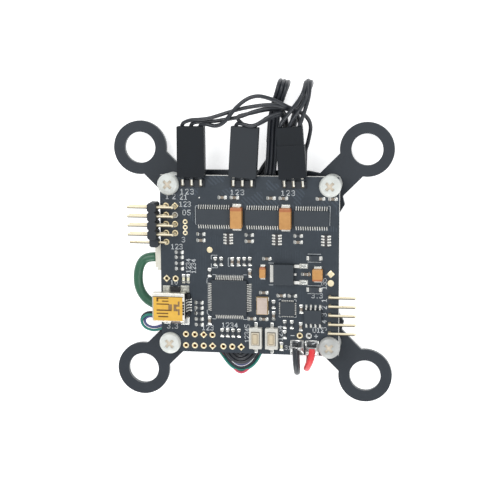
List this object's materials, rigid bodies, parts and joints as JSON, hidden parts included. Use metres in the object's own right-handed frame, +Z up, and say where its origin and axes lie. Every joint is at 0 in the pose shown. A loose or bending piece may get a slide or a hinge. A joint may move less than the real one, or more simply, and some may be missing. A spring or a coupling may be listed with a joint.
{
  "type": "flight controller board",
  "caption": "Square controller board on nylon spacers over an X-shaped damper plate, with plugged motor leads, USB socket, pin headers and two push buttons.",
  "frame": {"origin": "centre of the damper plate, on the plane of the four screw tips that the part stands on", "axes": "+Z up from plate to board, +Y towards the motor plugs, -X towards the USB socket"},
  "size_m": [0.079, 0.0922, 0.0186],
  "materials": {
    "black_plastic": "satin black",
    "board": "satin black solder mask",
    "chip_black": "black glaze with tinned ends",
    "chip_ceramic": "ceramic with tinned ends",
    "connector_white": "natural nylon",
    "crystal_case": "beige ceramic with a matt lid",
    "film": "amber polyimide film",
    "gold_pin": "gold flash",
    "led": "clear resin",
    "nylon": "natural white nylon",
    "package": "matt black moulding compound",
    "plate": "satin woven glass fibre, black",
    "silver_pin": "bright tin",
    "sleeve": "satin green sleeve",
    "solder": "bright solder",
    "steel": "bright plated steel",
    "switch_key": "cream plastic",
    "tantalum": "satin orange resin",
    "tin": "bright tin",
    "wire_black": "satin black silicone",
    "wire_mixed": "satin coloured insulation",
    "wire_red": "satin red silicone"
  },
  "bodies": {
    "board": {"boot_dome": "steel", "boot_switch_base": "black_plastic", "boot_switch_cover": "steel", "capacitor_terminals": "tin", "chip_capacitors": "chip_ceramic", "chip_resistors": "chip_black", "crimp_contacts": "tin", "crystal": "crystal_case", "damper_plate": "plate", "diode_terminals": "tin", "diodes": "package", "imu_chip": "package", "mcu": "package", "mcu_leads": "tin", "motor_driver_0": "package", "motor_driver_1": "package", "motor_driver_2": "package", "motor_driver_leads": "tin", "motor_header_pins": "gold_pin", "motor_lead_0": "wire_black", "motor_lead_1": "wire_black", "motor_lead_2": "wire_black", "motor_plug_0": "black_plastic", "motor_plug_1": "black_plastic", "motor_plug_2": "black_plastic", "nylon_nuts": "nylon", "nylon_screws": "nylon", "pcb": "board", "power_plug": "black_plastic", "power_solder": "solder", "power_wire_black": "wire_black", "power_wire_red": "wire_red", "rc_header_insulator": "black_plastic", "rc_header_pins": "silver_pin", "regulator_leads": "tin", "reset_dome": "steel", "reset_switch_base": "black_plastic", "reset_switch_cover": "steel", "resistor_arrays": "chip_black", "sensor_lead": "wire_mixed", "sensor_lead_plug": "connector_white", "sensor_plug": "connector_white", "sensor_sleeve": "sleeve", "sensor_socket": "connector_white", "serial_chip": "package", "serial_chip_leads": "tin", "servo_header_pins": "silver_pin", "spacers": "nylon", "status_leds": "led", "switch_terminals": "tin", "tantalum_capacitors": "tantalum", "tinned_lead_ends": "solder", "usb_contacts": "gold_pin", "usb_insert": "black_plastic", "usb_pickup_film": "film", "usb_shell": "steel", "voltage_regulator": "package"},
    "reset_key": {"reset_button": "switch_key"},
    "boot_key": {"boot_button": "switch_key"}
  },
  "joints": [
    {"name": "reset_press", "type": "slide", "parent": "board", "child": "reset_key", "axis": [0, 0, -1], "range_m": [0, 0.00025], "stiffness_N_per_m": 1000, "springref_m": -0.0002, "deforming": ["reset_dome"]},
    {"name": "boot_press", "type": "slide", "parent": "board", "child": "boot_key", "axis": [0, 0, -1], "range_m": [0, 0.00025], "stiffness_N_per_m": 1000, "springref_m": -0.0002, "deforming": ["boot_dome"]}
  ]
}
